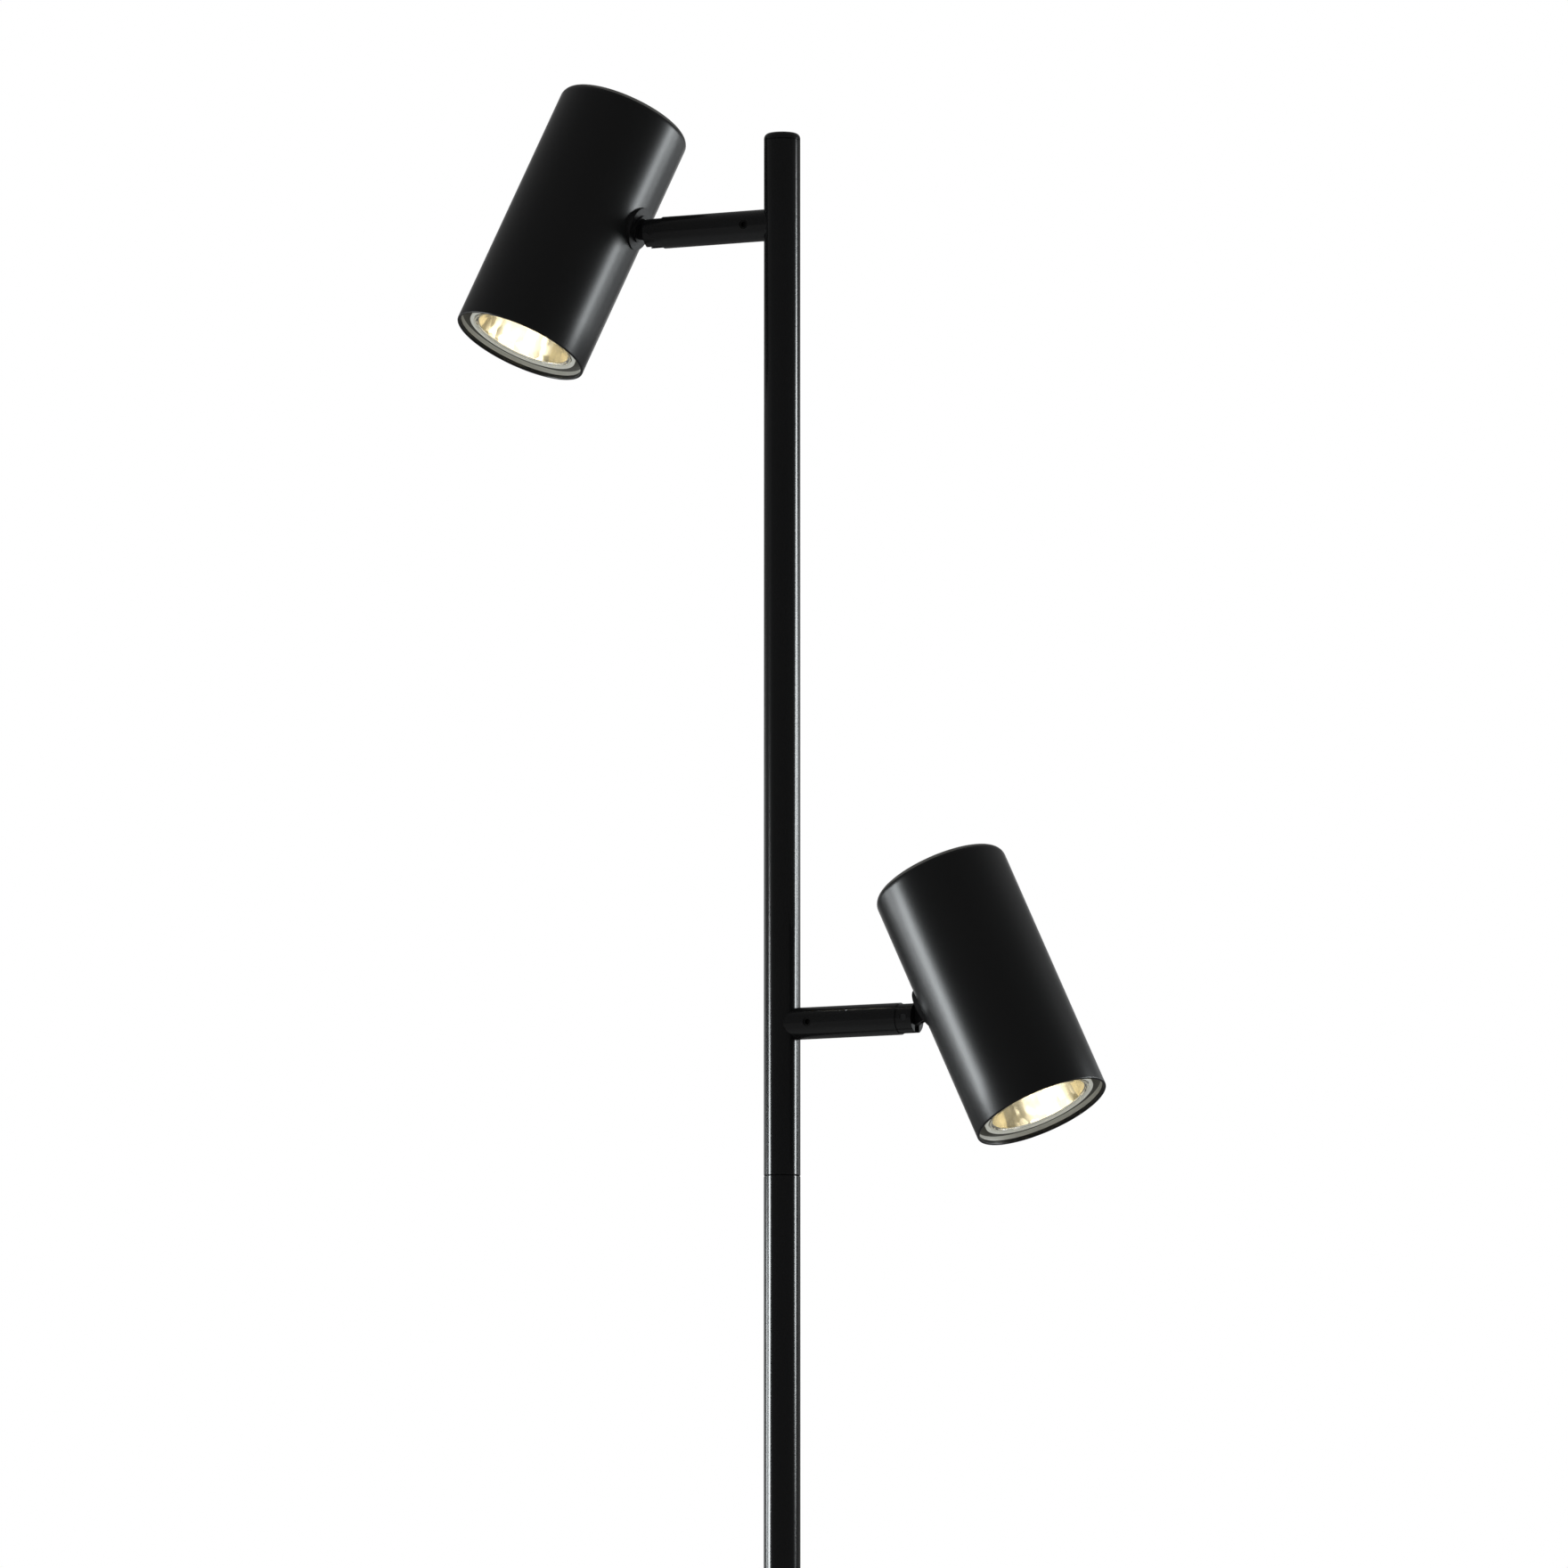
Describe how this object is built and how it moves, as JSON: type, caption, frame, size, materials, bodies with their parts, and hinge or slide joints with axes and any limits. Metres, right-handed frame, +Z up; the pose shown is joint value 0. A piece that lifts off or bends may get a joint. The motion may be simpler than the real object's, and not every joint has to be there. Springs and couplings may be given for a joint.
{
  "type": "pole lamp",
  "caption": "Floor-standing pole lamp with a round weighted base and cylindrical spot heads on short arms, each head tilting in a fork and swivelling on its knuckle.",
  "frame": {"origin": "middle of the base pad's underside, on the floor", "axes": "+Z up the pole; +X along the lower arm, so the upper arm points to -X; -Y is the front, towards which the heads lean"},
  "size_m": [0.299, 0.2515, 1.4088],
  "materials": {
    "black_powder_coat": "satin black powder coat on steel",
    "iron_weight": "rough cast, unpainted",
    "foam_pad": "closed-cell foam sheet",
    "black_rubber": "moulded, matt",
    "terminal_plastic": "moulded terminal strip",
    "fibre": "pressed fibre sheet",
    "white_ceramic": "glazed steatite",
    "lamp_glass": "clear moulded lamp glass",
    "lens_glass": "clear cover glass",
    "lamp_mirror": "bright faceted reflector",
    "lamp_light": "lit warm-white emitter",
    "nickel_plate": "nickel-plated contact pins",
    "lead_insulation": "smooth cable insulation",
    "zinc_plate": "zinc-plated steel"
  },
  "bodies": {
    "stand": {"base_cover": "black_powder_coat", "base_nut": "zinc_plate", "base_pad": "foam_pad", "base_stud": "zinc_plate", "base_washer": "zinc_plate", "base_weight": "iron_weight", "cord_inlet_grommet": "black_rubber", "lower_arm_fork": "black_powder_coat", "lower_arm_stub": "zinc_plate", "lower_arm_tube": "black_powder_coat", "lower_grub_screw": "black_powder_coat", "lower_pivot_pin": "black_powder_coat", "lower_pole_lead": "lead_insulation", "pole_bush_lower": "zinc_plate", "pole_bush_middle": "zinc_plate", "pole_bush_top": "zinc_plate", "pole_cap": "black_powder_coat", "pole_nipple_middle": "zinc_plate", "pole_nipple_top": "zinc_plate", "pole_tube_lower": "black_powder_coat", "pole_tube_middle": "black_powder_coat", "pole_tube_top": "black_powder_coat", "terminal_block": "terminal_plastic", "upper_arm_fork": "black_powder_coat", "upper_arm_stub": "zinc_plate", "upper_arm_tube": "black_powder_coat", "upper_grub_screw": "black_powder_coat", "upper_pivot_pin": "black_powder_coat", "upper_pole_lead": "lead_insulation"},
    "upper_knuckle_body": {"upper_knuckle": "black_powder_coat", "upper_spring_washer": "zinc_plate", "upper_lock_nut": "zinc_plate"},
    "upper_head": {"upper_shade": "black_powder_coat", "upper_rosette": "black_powder_coat", "upper_holder_bracket": "zinc_plate", "upper_holder_screws": "zinc_plate", "upper_fibre_washer": "fibre", "upper_lampholder": "white_ceramic", "upper_head_leads": "lead_insulation", "upper_lamp_body": "lamp_glass", "upper_lamp_lens": "lens_glass", "upper_lamp_chip": "lamp_light", "upper_lamp_pins": "nickel_plate", "upper_lamp_reflector": "lamp_mirror"},
    "lower_knuckle_body": {"lower_knuckle": "black_powder_coat", "lower_spring_washer": "zinc_plate", "lower_lock_nut": "zinc_plate"},
    "lower_head": {"lower_shade": "black_powder_coat", "lower_rosette": "black_powder_coat", "lower_holder_bracket": "zinc_plate", "lower_holder_screws": "zinc_plate", "lower_fibre_washer": "fibre", "lower_lampholder": "white_ceramic", "lower_head_leads": "lead_insulation", "lower_lamp_body": "lamp_glass", "lower_lamp_lens": "lens_glass", "lower_lamp_chip": "lamp_light", "lower_lamp_pins": "nickel_plate", "lower_lamp_reflector": "lamp_mirror"}
  },
  "joints": [
    {"name": "upper_tilt", "type": "hinge", "parent": "stand", "child": "upper_knuckle_body", "pos_m": [-0.0615, 0, 1.3408], "axis": [0, 1, 0], "range_deg": [-61.8, 28.2]},
    {"name": "upper_swivel", "type": "hinge", "parent": "upper_knuckle_body", "child": "upper_head", "pos_m": [-0.0615, 0, 1.3408], "axis": [-0.9573, 0, 0.289], "range_deg": [-194.9, 155.1]},
    {"name": "lower_tilt", "type": "hinge", "parent": "stand", "child": "lower_knuckle_body", "pos_m": [0.0615, 0, 0.9896], "axis": [0, -1, 0], "range_deg": [-71, 19]},
    {"name": "lower_swivel", "type": "hinge", "parent": "lower_knuckle_body", "child": "lower_head", "pos_m": [0.0615, 0, 0.9896], "axis": [-0.8988, 0, -0.4384], "range_deg": [-176.8, 173.2]}
  ]
}
